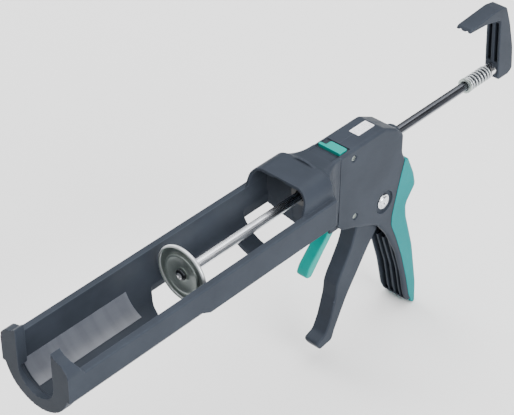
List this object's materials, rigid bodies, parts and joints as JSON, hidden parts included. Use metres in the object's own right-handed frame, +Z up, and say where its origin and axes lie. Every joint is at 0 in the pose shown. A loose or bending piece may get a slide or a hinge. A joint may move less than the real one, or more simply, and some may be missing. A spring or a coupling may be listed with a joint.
{
  "type": "caulking gun",
  "caption": "Hand-operated cartridge gun with a half-shell cradle, ratcheting push rod, trigger grip, release lever and pull hook.",
  "frame": {"origin": "on the push rod's axis, at the front face of the nose yoke", "axes": "+X back along the rod to the pull hook, +Z up away from the grip, -Y the side with the pivot bolt's head"},
  "size_m": [0.5084, 0.0636, 0.2321],
  "materials": {
    "slate_plastic": "moulded, fine satin grain",
    "grey_film": "printed film, satin",
    "white_film": "smooth film",
    "teal_soft": "soft touch, matt",
    "teal_plastic": "moulded, semi-gloss",
    "zinc": "zinc plated, dull",
    "bright_steel": "bright plated",
    "plated_rod": "drawn bar, plated",
    "dark_steel": "blanked plate, oiled",
    "spring_steel": "drawn wire",
    "black_plastic": "moulded, waxy"
  },
  "bodies": {
    "gun_frame": {"cradle": "slate_plastic", "info_panel": "grey_film", "housing_right": "slate_plastic", "housing_left": "slate_plastic", "housing_screws": "zinc", "grip_overlay": "teal_soft", "deck_label": "white_film", "pivot_bolt": "bright_steel", "pivot_clip": "zinc", "front_rod_bush": "black_plastic", "rear_rod_bush": "black_plastic", "release_pin": "bright_steel", "drive_spring": "spring_steel", "brake_spring": "spring_steel"},
    "rod_assembly": {"push_rod": "plated_rod", "push_plate": "zinc", "plate_screw": "bright_steel", "plate_washer": "zinc", "rod_spring": "spring_steel", "hook_ferrule": "bright_steel", "hook_handle": "slate_plastic", "hook_pin": "bright_steel"},
    "collar": {"spring_collar": "zinc"},
    "trigger": {"trigger": "slate_plastic", "trigger_bush": "black_plastic"},
    "drive": {"drive_plate": "dark_steel"},
    "release": {"release_lever": "teal_plastic"},
    "brake": {"brake_plate": "dark_steel"},
    "slider": {"drip_slider": "teal_plastic"}
  },
  "joints": [
    {"name": "rod_slide", "type": "slide", "parent": "gun_frame", "child": "rod_assembly", "axis": [1, 0, 0], "range_m": [-0.086, 0.115]},
    {"name": "collar_slide", "type": "slide", "parent": "rod_assembly", "child": "collar", "axis": [1, 0, 0], "range_m": [0, 0.015], "stiffness_N_per_m": 400, "springref_m": -0.002, "deforming": ["rod_spring"]},
    {"name": "trigger_hinge", "type": "hinge", "parent": "gun_frame", "child": "trigger", "pos_m": [0.3395, 0, -0.045], "axis": [0, -1, 0], "range_deg": [0, 30], "stiffness_Nm_per_rad": 2.5, "springref_deg": -17.19},
    {"name": "drive_plate_slide", "type": "slide", "parent": "gun_frame", "child": "drive", "axis": [-1, 0, 0], "range_m": [0, 0.0119], "deforming": ["drive_spring"]},
    {"name": "release_hinge", "type": "hinge", "parent": "gun_frame", "child": "release", "pos_m": [0.2925, 0, -0.037], "axis": [0, -1, 0], "range_deg": [0, 12], "stiffness_Nm_per_rad": 0.5, "springref_deg": -5.73},
    {"name": "brake_tilt", "type": "hinge", "parent": "gun_frame", "child": "brake", "pos_m": [0.288, 0, 0.015], "axis": [0, 1, 0], "range_deg": [0, 6.4]},
    {"name": "drip_stop_slide", "type": "slide", "parent": "gun_frame", "child": "slider", "axis": [-1, 0, 0], "range_m": [0, 0.007]}
  ],
  "couplings": [
    {"joint": "drive_plate_slide", "follows": "trigger_hinge", "m_per_rad": 0.0225},
    {"joint": "brake_tilt", "follows": "release_hinge", "ratio": 0.53}
  ]
}
